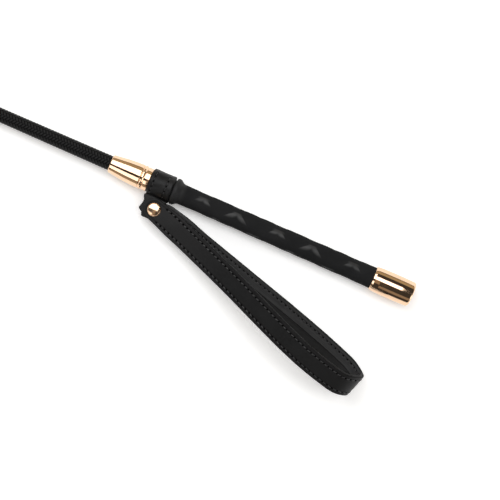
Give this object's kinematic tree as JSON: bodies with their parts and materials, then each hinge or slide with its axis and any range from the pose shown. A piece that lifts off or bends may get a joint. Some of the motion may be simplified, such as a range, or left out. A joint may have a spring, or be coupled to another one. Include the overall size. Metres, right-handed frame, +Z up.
{
  "type": "riding crop",
  "caption": "Slim braided riding crop with an embossed leather grip, rose-gold ferrules and pommel, a riveted wrist loop and a flat leather keeper at the tip",
  "frame": {"origin": "centre of the pommel's flat end face", "axes": "+X along the stick from the pommel to the tip, +Y towards the wrist loop, +Z up"},
  "size_m": [0.64, 0.0963, 0.0365],
  "materials": {
    "fibreglass": "pultruded glass fibre",
    "braid": "tight black braided sleeve",
    "rose_gold": "polished rose-gold plating",
    "plastic": "moulded",
    "core_wood": "turned, unfinished",
    "rubber": "matte",
    "grip_leather": "matte black with an embossed pattern",
    "leather": "black, fine grain, low sheen",
    "lining": "black, smooth",
    "thread": "waxed black thread"
  },
  "bodies": {
    "shaft": {"core_rod": "fibreglass", "shaft_braid": "braid", "shaft_ferrule": "rose_gold", "ferrule_bush": "plastic", "handle_core": "core_wood", "neck_bead": "rubber", "grip_cover": "grip_leather", "end_cap": "rose_gold", "end_plug": "plastic", "tip_ferrule": "rose_gold", "keeper_root": "leather"},
    "collar": {"collar_leather": "leather", "collar_lining": "lining", "collar_thread": "thread", "rivet_post": "rose_gold", "rivet_cap": "rose_gold"},
    "wrist_loop": {"strap_outer": "leather", "strap_lining": "lining", "strap_thread": "thread"},
    "keeper": {"keeper_leather": "leather", "keeper_rivet": "rose_gold", "keeper_thread": "thread"}
  },
  "joints": [
    {"name": "collar_swivel", "type": "hinge", "parent": "shaft", "child": "collar", "pos_m": [0.187, 0, 0], "axis": [1, 0, 0], "continuous": true},
    {"name": "loop_pivot", "type": "hinge", "parent": "collar", "child": "wrist_loop", "pos_m": [0.1835, 0.017, 0], "axis": [0, 0, 1], "range_deg": [-150, 8]},
    {"name": "keeper_flex", "type": "hinge", "parent": "shaft", "child": "keeper", "pos_m": [0.577, 0, 0], "axis": [0, 1, 0], "range_deg": [-50, 50], "stiffness_Nm_per_rad": 0.06}
  ]
}
